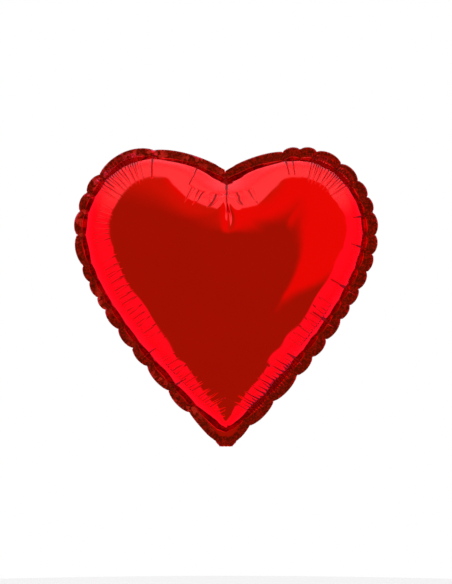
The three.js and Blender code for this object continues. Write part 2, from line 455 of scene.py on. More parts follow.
def evened(place, along, depth):
    """Places of points of one film, evened out along the edge but not across it.

    Each point goes to where a fit through the points beside it, at about its own depth, says that
    it should be. The fit is curved along the edge and straight across it.
    """
    order = np.argsort(along)
    place, along, depth = place[order], along[order], depth[order]
    found = np.empty_like(place)
    chunk = 300  # points worked out at a time
    for first in range(0, len(place), chunk):
        part = slice(first, first + chunk)
        low, high = along[part][0] - 2.5 * EVEN_ALONG, along[part][-1] + 2.5 * EVEN_ALONG
        near = slice(np.searchsorted(along, low), np.searchsorted(along, high))
        across = (along[None, near] - along[part, None]) / EVEN_ALONG
        deeper = (depth[None, near] - depth[part, None]) / EVEN_ACROSS
        weight = np.exp(-(across**2) - deeper**2)
        terms = (np.ones_like(across), across, across**2, deeper)
        matrix = np.array([[(weight * a * b).sum(axis=1) for a in terms] for b in terms])
        right = np.array([(weight * a) @ place[near] for a in terms])
        matrix = np.moveaxis(matrix, -1, 0) + 1e-6 * np.eye(len(terms))
        found[part] = np.linalg.solve(matrix, np.moveaxis(right, 0, 1))[:, 0]
    back = np.empty_like(found)
    back[order] = found
    return back


def even_out(points, cut):
    """Takes out most of the uneven puckers near the seam: the even ones are drawn in later."""
    points = points.copy()
    n, m = cut.around, cut.panel_points
    half_length = arc_length(cut_half())[-1]
    ring_along = (np.arange(n) / (n / 2)) * half_length
    for film in (slice(n, n + m), slice(n + m, n + 2 * m)):
        chosen = cut.depth[n:] < EVEN_DEPTH
        at = np.arange(film.start, film.stop)[chosen]
        place = np.vstack([points[at], points[:n]])
        along = np.r_[cut.beside[n:][chosen] / (n / 2) * half_length, ring_along]
        depth = np.r_[cut.depth[n:][chosen], np.zeros(n)]
        whole = evened(place, along, depth)
        # The halves are evened apart as well, for a sharp valley under the notch.
        parted = np.empty_like(whole)
        for half in (along <= half_length, along > half_length):
            parted[half] = evened(place[half], along[half], depth[half])
        joined = smoothstep(depth, *NOTCH_VALLEY)[:, None]
        smooth = (parted + joined * (whole - parted))[: len(at)]
        share = 1 - smoothstep(cut.depth[n:][chosen], 0.45 * EVEN_DEPTH, EVEN_DEPTH)
        points[at] += share[:, None] * (smooth - points[at])
    return points


def flange_width(cut):
    """Width of the flange as seen at each ring point."""
    wide = (FLANGE_RIGHT + FLANGE_LEFT) / 2
    return wide + (FLANGE_RIGHT - wide) * np.sin(np.pi * np.clip(cut.along(), -1, 1))


def heart_rings(cut):
    """Where the cut edge and the seam lie on the blown-up heart, as (x, z) for each ring point."""
    heart = heart_half()
    at = arc_length(heart) / arc_length(heart)[-1]
    share = np.abs(cut.along())
    side = np.where(cut.along() < 0, -1, 1)
    outline = np.c_[np.interp(share, at, heart[:, 0]) * side, np.interp(share, at, heart[:, 1])]
    way = np.roll(outline, -1, axis=0) - np.roll(outline, 1, axis=0)
    inward = np.c_[-way[:, 1], way[:, 0]]
    inward /= np.linalg.norm(inward, axis=1)[:, None]
    # Near the middle the flange turns to run straight down from the notch and up from the neck.
    length = arc_length(heart)[-1]
    by_neck = 1 - smoothstep(share * length, *NECK_TURN)
    by_notch = 1 - smoothstep((1 - share) * length, *NOTCH_TURN)
    inward += by_neck[:, None] * ((0, 1) - inward) + by_notch[:, None] * ((0, -1) - inward)
    inward /= np.linalg.norm(inward, axis=1)[:, None]
    return outline, outline + flange_width(cut)[:, None] * inward


def settle(points, cut):
    """The blown-up film in the CAD's place: evened out, with a flat flange on its outline."""
    points = even_out(points, cut)
    flat = cut.flat_points()
    points[:, 1] -= points[: cut.around, 1].mean()
    outline, seam = heart_rings(cut)
    target = np.c_[seam[:, 0], np.zeros(cut.around), seam[:, 1]]
    shift = target - points[: cut.around]
    # Each point of the panels moves with the seam near it, and out of plane only close to it.
    place = flat[:, [0, 2]]
    chunk = 2000
    for start in range(0, cut.border_start, chunk):
        part = slice(start, min(start + chunk, cut.border_start))
        apart = np.linalg.norm(place[part, None] - cut.seam[None], axis=2)
        pull = 1 / (apart**2 + SEAM_BLUR**2) ** 1.5
        moved = (pull @ shift) / pull.sum(axis=1)[:, None]
        moved[:, 1] *= np.exp(-((apart.min(axis=1) / SEAM_STEER) ** 2))
        points[part] += moved
    points[:, 1] *= (CAD_HIGH.y - CAD_LOW.y) / np.ptp(points[: cut.border_start, 1])
    points[: cut.around] = target
    for k in range(cut.rows):
        edge = outline + (seam - outline) * k / cut.rows
        points[cut.border_row(k)] = np.c_[edge[:, 0], np.zeros(cut.around), edge[:, 1]]
    # Real gathers let the film under the notch come forward, which leaves only a short valley.
    from_notch = np.hypot(points[:, 0], points[:, 2] - (HEART_TOP - NOTCH_DEPTH - NOTCH_FILL_BELOW))
    points[:, 1] *= 1 + NOTCH_FILL * np.exp(-((from_notch / NOTCH_FILL_REACH) ** 2))
    # The neck is nearly flat, because the tail and the valve films keep it so.
    points[:, 1] *= smoothstep(np.hypot(flat[:, 0], flat[:, 2] - NECK_Z), *NECK_FLAT)
    return points


# ------------------------------------------------------------------ meshes


def loop_subdivide(points, triangles):
    """One step of Loop's subdivision, of the places and of whatever points' further columns hold.

    The four children of triangle i are numbers 4 i to 4 i + 3.
    """
    count = len(points)
    sides = np.sort(triangles[:, [0, 1, 1, 2, 2, 0]].reshape(-1, 2), axis=1)
    opposite = triangles[:, [2, 0, 1]].reshape(-1)
    edges, which, uses = np.unique(sides, axis=0, return_inverse=True, return_counts=True)
    which = which.reshape(-1)
    across = np.zeros((len(edges), points.shape[1]))
    np.add.at(across, which, points[opposite])
    a, b = points[edges[:, 0]], points[edges[:, 1]]
    rim = uses == 1
    middle = 0.375 * (a + b) + 0.125 * across
    middle[rim] = 0.5 * (a + b)[rim]
    # Old points move towards their neighbours: all of them, or on the rim the two rim ones.
    neighbours = np.zeros_like(points)
    rim_sum = np.zeros_like(points)
    degree = np.zeros(count)
    on_rim = np.zeros(count, bool)
    for near, other in ((edges[:, 0], b), (edges[:, 1], a)):
        np.add.at(neighbours, near, other)
        np.add.at(rim_sum, near[rim], other[rim])
        np.add.at(degree, near, 1)
        on_rim[near[rim]] = True
    spread = 0.375 + 0.25 * np.cos(2 * np.pi / np.maximum(degree, 3))
    beta = (0.625 - spread**2) / np.maximum(degree, 1)
    moved = (1 - degree * beta)[:, None] * points + beta[:, None] * neighbours
    moved[on_rim] = 0.75 * points[on_rim] + 0.125 * rim_sum[on_rim]
    ab, bc, ca = (count + which.reshape(-1, 3)).T
    v0, v1, v2 = triangles.T
    children = np.stack(
        [np.c_[v0, ab, ca], np.c_[v1, bc, ab], np.c_[v2, ca, bc], np.c_[ab, bc, ca]], axis=1
    )
    return np.vstack([moved, middle]), children.reshape(-1, 3)


def point_normals(points, triangles):
    """Unit normal at each point, weighted by area."""
    a, b, c = (points[triangles[:, k]] for k in range(3))
    face = np.cross(b - a, c - a)
    normals = np.zeros_like(points)
    for k in range(3):
        np.add.at(normals, triangles[:, k], face)
    return normals / np.maximum(np.linalg.norm(normals, axis=1), 1e-12)[:, None]


def compact(points, triangles):
    """The points that the triangles use, and the triangles renumbered."""
    used, renumbered = np.unique(triangles, return_inverse=True)
    return points[used], renumbered.reshape(-1, 3)


def make_piece(name, points, faces, material, attributes=None):
    """A smooth-shaded object from points and faces, with float attributes on its points."""
    mesh = bpy.data.meshes.new(name)
    mesh.from_pydata(np.asarray(points).tolist(), [], np.asarray(faces).tolist())
    mesh.materials.append(material)
    mesh.polygons.foreach_set("use_smooth", [True] * len(mesh.polygons))
    for key, values in (attributes or {}).items():
        attribute = mesh.attributes.new(key, "FLOAT", "POINT")
        attribute.data.foreach_set("value", np.asarray(values, np.float32))
    mesh.update()
    return add_object(name, mesh)


def thicken(piece, thickness, offset=0.0):
    """Gives an open sheet its thickness."""
    solidify = piece.modifiers.new("thickness", "SOLIDIFY")
    solidify.thickness = thickness
    solidify.offset = offset
    return piece


# ------------------------------------------------------------------ materials


class Nodes:
    """Short ways to add and join the nodes of one tree. Values are numbers, colours or outputs."""

    def __init__(self, tree):
        self.tree = tree

    def add(self, kind, inputs=None, **settings):
        node = self.tree.nodes.new(kind)
        for key, value in settings.items():
            setattr(node, key, value)
        for key, value in (inputs or {}).items():
            self.put(node.inputs[key], value)
        return node

    def put(self, socket, value):
        """Joins an output to the socket, or sets the socket's own value."""
        if isinstance(value, bpy.types.NodeSocket):
            self.tree.links.new(value, socket)
        elif isinstance(value, tuple) and len(value) == 3 and socket.type == "RGBA":
            socket.default_value = (*value, 1.0)
        else:
            socket.default_value = value

    def math(self, operation, first, *others):
        """The result of a Math node. Numbers past the second are joined on from left to right."""
        node = self.add("ShaderNodeMath", operation=operation)
        for socket, value in zip(node.inputs, (first, *others)):
            self.put(socket, value)
        later = others[1:]
        return self.math(operation, node.outputs[0], *later) if later else node.outputs[0]

    def times(self, *values):
        return self.math("MULTIPLY", *values)

    def plus(self, *values):
        return self.math("ADD", *values)

    def minus(self, value, less):
        return self.math("SUBTRACT", value, less)

    def step(self, value, low, high, below=0.0, above=1.0):
        """Smoothly from below to above as value goes from low to high."""
        inputs = {"Value": value, "From Min": low, "From Max": high, "To Min": below, "To Max": above}
        return self.add("ShaderNodeMapRange", inputs, interpolation_type="SMOOTHSTEP").outputs[0]

    def mix(self, factor, a, b):
        """Colour a where factor is 0 and b where it is 1."""
        node = self.add("ShaderNodeMix", data_type="RGBA")
        self.put(node.inputs[0], factor)
        self.put(node.inputs[6], a)
        self.put(node.inputs[7], b)
        return node.outputs[2]

    def noise(self, scale, detail=2.0, stretch=(1, 1, 1)):
        """Noise with scale bumps to a metre, from 0 to 1."""
        place = self.add("ShaderNodeTexCoord").outputs["Object"]
        mapped = self.add("ShaderNodeMapping", {"Vector": place, "Scale": stretch}).outputs[0]
        inputs = {"Vector": mapped, "Scale": scale, "Detail": detail}
        return self.add("ShaderNodeTexNoise", inputs).outputs[0]

    def attribute(self, name):
        return self.add("ShaderNodeAttribute", attribute_name=name).outputs["Fac"]

    def between(self, value, first, last, edge):
        """1 where value is between first and last, fading out over edge inside them."""
        rise = self.step(value, first, first + edge)
        return self.times(rise, self.step(value, last - edge, last, 1.0, 0.0))

    def bump(self, height):
        """Normals bent by a height in millimetres."""
        inputs = {"Height": height, "Distance": MM, "Strength": 1.0}
        return self.add("ShaderNodeBump", inputs).outputs[0]


def new_material(name):
    """An empty node material, its node helper and its Principled shader."""
    material = bpy.data.materials.new(name)
    material.use_nodes = True
    shader = material.node_tree.nodes["Principled BSDF"]
    return material, Nodes(material.node_tree), shader


def set_shader(nodes, shader, **values):
    """Sets the shader's sockets, named with _ for each space."""
    for key, value in values.items():
        nodes.put(shader.inputs[key.replace("_", " ")], value)


def fold_lines(nodes):
    """The fine pleats and single creases of a film: their height in millimetres, and a painted shade
    mask, how far each place lies in the bottom of one, where shade is painted."""
    place = nodes.attribute("edge_place")
    depth = nodes.attribute("edge_depth")
    right = nodes.step(nodes.attribute("edge_half"), -0.2, 0.2)
    halves = {1: right, -1: nodes.minus(1.0, right)}
    length = arc_length(heart_half())[-1] / MM
    # The pleats are counted along the edge, at an uneven pitch, and end at uneven depths.
    even = nodes.math("DIVIDE", place, PLEAT_PITCH)
    wobble = nodes.times(nodes.math("SINE", nodes.times(even, 0.83)), 0.30)
    count = nodes.plus(even, nodes.plus(wobble, nodes.noise(14)))
    valley = nodes.math("ABSOLUTE", nodes.minus(nodes.math("FRACT", count), 0.5))
    ragged = nodes.plus(nodes.times(nodes.math("SINE", nodes.times(count, 2.6)), 0.16), 0.84)
    window = 0.0
    for side, first, last, start, reach, strength in PLEATS:
        fade = 0.22 * (last - first) * length
        along = nodes.between(place, first * length, last * length, fade)
        before_end = nodes.minus(nodes.times(ragged, start + reach), depth)
        inwards = nodes.times(
            nodes.step(before_end, 0.0, 0.25 * reach), nodes.step(depth, start - 3.0, start + 1.0)
        )
        part = nodes.times(nodes.times(along, inwards), strength, halves[side])
        window = nodes.math("MAXIMUM", window, part)
    crest = nodes.math("SINE", nodes.times(valley, math.pi))
    height = nodes.times(crest, window, PLEAT_HEIGHT)
    # Painted shade in the bottom of each pleat.
    painted_shade = nodes.times(nodes.step(valley, 0.02, 0.24, 1.0, 0.0), window)
    for side, at, start, reach, width in CREASES:
        apart = nodes.math("ABSOLUTE", nodes.minus(place, at * length))
        across = nodes.step(apart, 0.0, width, 1.0, 0.0)
        inwards = nodes.between(depth, start - 2.0, start + reach, 3.0)
        line = nodes.times(across, inwards, halves[side])
        height = nodes.minus(height, nodes.times(line, 0.6 * width))
        # Painted shade along each crease as well.
        painted_shade = nodes.math("MAXIMUM", painted_shade, nodes.times(nodes.step(line, 0.35, 1.0), 0.85))
    return height, painted_shade


PANEL_REDS = ((0.80, 0.014, 0.010), (0.86, 0.017, 0.014))
# Painted shade: the border's reds are darker than the panel's.
PAINTED_SHADE_BORDER_REDS = ((0.19, 0.010, 0.004), (0.62, 0.014, 0.014))
# Painted glint colour for facets that catch the light.
PAINTED_GLINT_PINK = (1.0, 0.07, 0.20)
# Painted shade colour for the bottoms of pleats and creases.
PAINTED_PLEAT_SHADE = (0.20, 0.004, 0.004)
GRAZING_TINT = (1.0, 0.12, 0.16)  # of what the film mirrors at a slant
# Painted shade: the sealing layer's reds, which show as a line along the cut edge.
PAINTED_SHADE_SEAL_REDS = ((0.16, 0.006, 0.004), (0.34, 0.014, 0.012))
VALVE_MILKY = ((0.74, 0.73, 0.70), (0.88, 0.86, 0.82))
FLOOR_GREYS = ((0.86, 0.86, 0.86), (0.90, 0.90, 0.90))


def foil_material():
    """Aluminised film under clear red lacquer: mirror-like, crumpled and duller on the border, with
    painted shade on the border and in the bottoms of pleats and creases, and painted glints on the
    left border's facets.
    """
    material, nodes, shader = new_material("red_foil")
    border = nodes.attribute("border")
    panel_colour = nodes.mix(nodes.noise(14, 3), *PANEL_REDS)
    crackle = nodes.noise(420, 3)
    crush = nodes.add("ShaderNodeTexVoronoi", {"Scale": 230.0}, feature="F1")
    nodes.put(crush.inputs["Vector"], nodes.add("ShaderNodeTexCoord").outputs["Object"])
    # The left border is crushed into facets, and some of its cells are painted pink as painted
    # glints, for facets that catch the light.
    cell = nodes.add("ShaderNodeSeparateColor", {"Color": crush.outputs["Color"]}).outputs[0]
    on_left = nodes.step(nodes.attribute("edge_half"), 0.2, -0.2)
    crushed_and_glinting = nodes.times(on_left, nodes.step(nodes.noise(26), 0.42, 0.58))
    painted_glint_share = nodes.plus(nodes.times(crushed_and_glinting, 0.8), 0.08)
    painted_glint = nodes.times(nodes.step(cell, 0.45, 0.75), painted_glint_share)
    # Painted shade: the border's reds are darker than the panel's, mottled at random between them.
    painted_border_colour = nodes.mix(nodes.step(crackle, 0.42, 0.68), *PAINTED_SHADE_BORDER_REDS)
    painted_border_colour = nodes.mix(painted_glint, painted_border_colour, PAINTED_GLINT_PINK)
    colour = nodes.mix(border, panel_colour, painted_border_colour)
    smudge = nodes.step(nodes.noise(38, 4), 0.35, 0.75, 0.045, 0.11)
    border_rough = nodes.step(crackle, 0.3, 0.7, 0.12, 0.26)
    roughness = nodes.plus(
        nodes.times(smudge, nodes.minus(1.0, border)), nodes.times(border_rough, border)
    )
    fold_height, painted_shade = fold_lines(nodes)
    ripple = nodes.times(nodes.noise(22, 2), 0.10)
    grain = nodes.times(nodes.noise(900, 2), 0.0025)
    crush_tall = nodes.plus(nodes.times(crushed_and_glinting, 0.7), 0.35)
    crush_height = nodes.times(crush.outputs["Distance"], crush_tall, border)
    height = nodes.plus(fold_height, ripple, grain, crush_height)
    # Painted shade: hardly any light gets out of the bottom of a pleat or crease, so there the colour
    # is darkened and the film made to mirror less, with less metal and coat.
    colour = nodes.mix(painted_shade, colour, PAINTED_PLEAT_SHADE)
    metal = nodes.minus(1.0, nodes.times(painted_shade, 0.85))
    set_shader(nodes, shader, Base_Color=colour, Roughness=roughness, Metallic=metal,
               Specular_IOR_Level=0.0, Specular_Tint=GRAZING_TINT,
               Coat_Weight=nodes.times(metal, 0.3), Coat_Roughness=0.04, Coat_IOR=1.4,
               Normal=nodes.bump(height))
    return material


def seal_material():
    """The melted sealing layer: glossy, in a darkened red that gives a painted shade line where it
    shows along the cut edge.
    """
    material, nodes, shader = new_material("seal_layer")
    colour = nodes.mix(nodes.noise(260, 3), *PAINTED_SHADE_SEAL_REDS)
    roughness = nodes.step(nodes.noise(500, 2), 0.3, 0.7, 0.22, 0.42)
    set_shader(nodes, shader, Base_Color=colour, Roughness=roughness, Specular_IOR_Level=0.5,
               Coat_Weight=0.4, Normal=nodes.bump(nodes.times(nodes.noise(700, 2), 0.12)))
    return material


def valve_material():
    """Clear polythene film, gone milky where it is creased."""
    material, nodes, shader = new_material("valve_film")
    milky = nodes.step(nodes.noise(60, 4), 0.35, 0.7)
    colour = nodes.mix(milky, *VALVE_MILKY)
    roughness = nodes.step(milky, 0.0, 1.0, 0.18, 0.42)
    height = nodes.times(nodes.noise(120, 4, (1, 1, 0.25)), 0.25)
    set_shader(nodes, shader, Base_Color=colour, Roughness=roughness, Transmission_Weight=0.55,
               IOR=1.5, Normal=nodes.bump(height))
    return material


def floor_material():
    """Matt pale studio floor with a faint mottle."""
    material, nodes, shader = new_material("studio_floor")
    colour = nodes.mix(nodes.noise(3, 3), *FLOOR_GREYS)
    set_shader(nodes, shader, Base_Color=colour, Roughness=0.9, Specular_IOR_Level=0.1)
    return material


# ------------------------------------------------------------------ camera, floor and light

CAMERA_DISTANCE = 3.0
VIEW_HEIGHT = 0.7373  # height of the picture at the balloon
VIEW_CENTRE_Z = 0.1957
SENSOR = 36.0
FLOOR_DROP = 0.45  # from the bottom of the balloon
FLOOR_RADII = (0.2, 0.8, 1.6, 2.4)


def add_camera():
    """A camera square to the front."""
    camera = bpy.data.cameras.new("camera")
    camera.sensor_fit = "VERTICAL"
    camera.sensor_height = SENSOR
    camera.sensor_width = SENSOR
    camera.lens = SENSOR * CAMERA_DISTANCE / VIEW_HEIGHT
    holder = add_object("camera", camera)
    holder.location = (0, -CAMERA_DISTANCE, VIEW_CENTRE_Z)
    holder.rotation_euler = (math.pi / 2, 0, 0)
    bpy.context.scene.camera = holder


def add_floor():
    """A round pale floor well below the balloon, out of its reflections."""
    steps = 96
    points = [(0, 0, 0)]
    for radius in FLOOR_RADII:
        for k in range(steps):
            turn = 2 * math.pi * k / steps
            points.append((radius * math.cos(turn), radius * math.sin(turn), 0))
    faces = [(0, 1 + k, 1 + (k + 1) % steps) for k in range(steps)]
    for ring in range(len(FLOOR_RADII) - 1):
        a, b = 1 + ring * steps, 1 + (ring + 1) * steps
        faces += [(a + k, b + k, b + (k + 1) % steps, a + (k + 1) % steps) for k in range(steps)]
    mesh = bpy.data.meshes.new("floor")
    mesh.from_pydata(points, [], faces)
    mesh.materials.append(floor_material())
    floor = add_object("floor", mesh)
    floor.location.z = CAD_LOW.z - FLOOR_DROP
    floor.visible_glossy = False


# What the film mirrors, by where it is.
ROOM = (0.42, 0.20, 0.03)
ROOM_OVERHEAD = (0.72, 0.22, 0.05)
LIT_WALL = (0.98, 0.10, 0.04)
SWEEP_OVERHEAD = (1.30, 1.45, 1.80)
SWEEP_SIDES = (1.28, 0.13, 0.48)
FAR_END = (0.42, 0.11, 0.05)


def add_world():
    """A white sweep behind and above, and a dim warm room on the camera's side."""
    world = bpy.data.worlds.new("studio")
    bpy.context.scene.world = world
    world.use_nodes = True
    nodes = Nodes(world.node_tree)
    background = world.node_tree.nodes["Background"]
    direction = nodes.add("ShaderNodeTexCoord").outputs["Generated"]
    x, y, z = nodes.add("ShaderNodeSeparateXYZ", {"Vector": direction}).outputs[:3]
    azimuth = nodes.math("ARCTAN2", x, nodes.times(y, -1.0))  # 0 to the front, then to the right
    elevation = nodes.math("ARCSINE", z)
    # The sweep starts behind overhead, and further forward at the sides.
    forward_by = nodes.plus(nodes.times(nodes.math("ABSOLUTE", x), 0.31), nodes.times(x, -0.09))
    sweep_side = nodes.plus(y, nodes.times(z, 0.20), forward_by)
    sweep = nodes.step(sweep_side, -0.03, 0.03)
    # On the camera's side: a dark room, a lit wall to the right and a dim glow overhead.
    right_wall = nodes.times(nodes.step(azimuth, 0.60, 0.68), nodes.step(elevation, -0.42, -0.24))
    above_right = nodes.times(nodes.step(elevation, 0.40, 0.95), nodes.step(azimuth, -0.5, 0.5))
    room = nodes.mix(nodes.step(elevation, 0.55, 1.1), ROOM, ROOM_OVERHEAD)
    room = nodes.mix(nodes.math("MAXIMUM", right_wall, above_right), room, LIT_WALL)
    white = nodes.mix(nodes.step(z, 0.75, 0.30), SWEEP_OVERHEAD, SWEEP_SIDES)
    seen = nodes.mix(sweep, room, white)
    seen = nodes.mix(nodes.times(nodes.step(y, 0.72, 0.86), 0.75), seen, FAR_END)
    path = nodes.add("ShaderNodeLightPath").outputs
    mirrored = nodes.math("MAXIMUM", path["Is Glossy Ray"], path["Is Transmission Ray"])
    nodes.put(background.inputs["Color"], nodes.mix(mirrored, (1.0, 1.0, 1.0), seen))


KEY_PLACE = (-1.5, -1.6, 2.6)
KEY_TARGET = (0, 0, 0.1)
KEY_SIZE = 1.6
KEY_POWER = 18


def add_lamp(name, place, target, size, power):
    """A square soft box that lights matt things and stays out of the mirror film."""
    light = bpy.data.lights.new(name, "AREA")
    light.size = size
    light.energy = power
    lamp = add_object(name, light)
    lamp.location = place
    lamp.rotation_euler = (Vector(target) - Vector(place)).to_track_quat("-Z", "Y").to_euler()
    lamp.visible_glossy = False


# ------------------------------------------------------------------ the panels

FOIL = 0.2 * MM  # thickness of each film, several times the real one so that it renders
PLY_GAP = 0.1 * MM  # from the middle of the seal to the inside of each film
VALVE_ROOM = 0.5 * MM  # how much further out each film is where the valve lies between them
LOBE = 5.0 * MM  # how far a scallop stands out from its breaks
LOBE_LEAN = 3.0 * MM  # how far its middle stands in front of them
WIDE_LOBE = 28.0 * MM  # the length from which a scallop has its full height
LOBE_REACH = 16.0 * MM  # how far in from the seam it still shows
CRUMPLE = 0.45 * MM
PUCKER = 1.1 * MM  # depth of the pucker at a break
PUCKER_WIDTH = 2.4 * MM
PUCKER_REACH = 22.0 * MM
SHADE_LINE_BEAD = 0.7 * MM  # how far the sealing layer is squeezed out of the cut edge, as a painted shade line
SEAL_THICKNESS = 0.16 * MM
ON_EDGE = 0.3 * MM  # points less deep than this are on the cut edge
VALVE_SHARE = 0.76  # width of the valve films as a share of the tail's
VALVE_CLEAR = (60.0 * MM, 90.0 * MM)  # heights over which the room for the valve ends

# The folds that the foil's material draws, in millimetres.
PLEAT_PITCH = 4.4
PLEAT_HEIGHT = 1.1

# Single creases across the edge: side (1 right, -1 left), share of the half outline, depth from
# the cut edge where each starts, how far in it reaches, and its width.
CREASES = (
    (1, 0.999, 14, 72, 2.4),
    (-1, 0.940, 14, 70, 1.3),
    (-1, 0.836, 6, 80, 2.4),
    (1, 0.870, 12, 68, 1.8),
    (1, 0.853, 12, 68, 1.5),
    (1, 0.606, 12, 56, 1.4),
    (1, 0.528, 12, 62, 1.5),
    (1, 0.427, 6, 84, 2.0),
    (1, 0.344, 6, 84, 2.4),
    (1, 0.240, 10, 66, 1.8),
    (-1, 0.703, 12, 58, 1.4),
    (-1, 0.260, 12, 62, 1.4),
    (-1, 0.171, 12, 66, 1.5),
)

# Bundles of fine pleats: side, first and last share of the half outline, depth where they start,
# how far in they reach, and their strength.
PLEATS = (
    (-1, 0.66, 0.82, 8, 86, 1.0),
    (1, 0.67, 0.83, 8, 86, 1.0),
    (1, 0.07, 0.25, 12, 84, 1.0),
    (1, 0.25, 0.40, 62, 34, 0.6),
    (1, 0.40, 0.60, 30, 40, 0.25),
    (-1, 0.26, 0.50, 72, 32, 0.7),
    (-1, 0.50, 0.66, 66, 30, 0.3),
    (-1, 0.04, 0.26, 66, 34, 0.7),
    (-1, 0.935, 1.02, 84, 36, 0.9),
    (1, 0.955, 1.02, 80, 34, 0.8),
)


def crumple(points):
    """Small folds of the border, as a height from -1 to 1 at each point."""
    return np.array([
        noise.noise(Vector(p) * 130) + 0.6 * noise.noise(Vector(p) * 290 + Vector((7, 3, 5)))
        for p in points
    ])


def detail(columns):
    """How far each point of a film moves for the scallops, crumples and puckers of the border.

    It gives a shift that both films share, and a distance along the film's own normal.
    """
    place, share, side, depth = columns[:, :3], columns[:, 3], np.sign(columns[:, 4]), columns[:, 5]
    inward = columns[:, 6:8]
    through, length, gap = scallop_places(share, side, arc_length(heart_half())[-1])
    size = np.clip(length / WIDE_LOBE, 0, 1) * smoothstep(share, 0.02, 0.05)
    arch = np.sin(np.pi * np.clip(through, 0, 1)) ** 0.55
    outward = LOBE * size * (arch - 0.6) * (1 - smoothstep(depth, FLANGE, FLANGE + LOBE_REACH))
    lean = LOBE_LEAN * size * (0.55 - arch) * (1 - smoothstep(depth, 0, FLANGE + 4 * MM))
    # The left border is crumpled the most.
    rough = (1 + 0.6 * (side < 0)) * (1 - smoothstep(depth, 0.5 * FLANGE, FLANGE))
    back = lean + CRUMPLE * rough * crumple(place) * smoothstep(share, 0.03, 0.07)
    common = np.c_[-outward * inward[:, 0], back, -outward * inward[:, 1]]
    across = np.exp(-((gap / PUCKER_WIDTH) ** 2))
    start = smoothstep(depth, 0.6 * FLANGE, FLANGE + 2 * MM)
    reach = 1 - smoothstep(depth, FLANGE, FLANGE + PUCKER_REACH * np.maximum(size, 0.01))
    return common, -PUCKER * size * across * start * reach


def panel(cut, points, side):
    """One film as a fine surface. Side is -1 for the front and 1 for the back.

    Its columns are x, y, z, share of the half outline, which half, depth from the cut edge, and
    the flat pattern's direction inwards. It also gives the triangles, the border's first, how many
    the border has, and how far each point still has to go along the film's normal.
    """
    n, m = cut.around, cut.panel_points
    along = cut.along()
    inward = (cut.seam - cut.ring) / FLANGE
    ring_columns = np.c_[np.abs(along), np.sign(along), np.zeros(n), inward]
    columns = np.zeros((len(points), 8))
    columns[:, :3] = points
    inner = slice(n, n + m) if side < 0 else slice(n + m, n + 2 * m)
    columns[inner, 3:] = ring_columns[cut.nearest[n:]]
    columns[inner, 3] = np.abs(cut.along(cut.beside[n:]))
    columns[inner, 5] = FLANGE + cut.depth[n:]
    for k in range(cut.rows + 1):
        row = cut.border_row(k)
        columns[row, 3:] = ring_columns
        columns[row, 5] = FLANGE * k / cut.rows
    border = cut.border_triangles()
    if side < 0:
        triangles = np.vstack([border, cut.panel])
    else:
        triangles = np.vstack([border[:, [0, 2, 1]], cut.back_panel()])
    columns, triangles = compact(columns, triangles)
    columns, triangles = loop_subdivide(columns, triangles)
    common, crease = detail(columns)
    columns[:, :3] += common
    return columns, triangles, 4 * len(border), crease


def film_attributes(share, half, depth, border):
    """What the foil's material needs to know at each point, with lengths in millimetres."""
    return {
        "border": border,
        "edge_place": share * arc_length(heart_half())[-1] / MM,
        "edge_half": half,
        "edge_depth": depth / MM,
    }


def panel_piece(name, cut, points, side, material):
    """One film of the heart, from its cut edge in."""
    columns, triangles, _, crease = panel(cut, points, side)
    place, share, half, depth = columns[:, :3], columns[:, 3], np.sign(columns[:, 4]), columns[:, 5]
    # The films part a little round the valve at the neck.
    valve_room = VALVE_ROOM * (1 - smoothstep(np.abs(place[:, 0]), NECK_HALF, NECK_HALF + 5 * MM))
    valve_room *= 1 - smoothstep(place[:, 2], *VALVE_CLEAR)
    place = place + point_normals(place, triangles) * (PLY_GAP + valve_room + crease)[:, None]
    # The border share also brings in the foil material's painted shade and painted glints.
    border = 1 - smoothstep(depth, FLANGE - 2 * MM, FLANGE + 1 * MM)
    piece = make_piece(name, place, triangles, material, film_attributes(share, half, depth, border))
    return thicken(piece, FOIL, 1.0)


def seal_piece(cut, points, material):
    """The melted layer between the films' borders, squeezed out a little along the cut edge as a
    painted shade line.
    """
    columns, triangles, border_count, _ = panel(cut, points, -1)
    border = triangles[:border_count]
    depth = columns[:, 5]
    shallow = (depth[border] < FLANGE - 1.5 * MM).all(axis=1)
    beside_valve = (np.abs(columns[border, 0]) > VALVE_SHARE * NECK_HALF).all(axis=1)
    place, faces = compact(columns, border[shallow & beside_valve])
    sides = np.sort(faces[:, [0, 1, 1, 2, 2, 0]].reshape(-1, 2), axis=1)
    edges, uses = np.unique(sides, axis=0, return_counts=True)
    rim = edges[uses == 1]
    outer = rim[(place[rim, 5] < ON_EDGE).all(axis=1)]
    on_edge = np.unique(outer)
    # Each edge point moves out, away from its neighbours further in.
    inwards = np.zeros((len(place), 3))
    for a, b in ((0, 1), (1, 0)):
        deeper = place[edges[:, b], 5] > place[edges[:, a], 5] + ON_EDGE
        near, far = edges[deeper, a], edges[deeper, b]
        np.add.at(inwards, near, place[far, :3] - place[near, :3])
    inwards /= np.maximum(np.linalg.norm(inwards, axis=1), 1e-12)[:, None]
    # The squeezed-out edge draws a painted shade line round the outline.
    shade_line_bead = SHADE_LINE_BEAD * smoothstep(np.abs(place[on_edge, 0]), NECK_HALF, NECK_HALF + 6 * MM)
    place[on_edge, :3] -= inwards[on_edge] * shade_line_bead[:, None]
    return thicken(make_piece("edge_seal_layer", place[:, :3], faces, material), SEAL_THICKNESS)


# ------------------------------------------------------------------ the tail

TAIL_NORMAL = Vector(next(m for m in frame["record"]["mounts"] if m["name"] == "tail_face")["axis"])
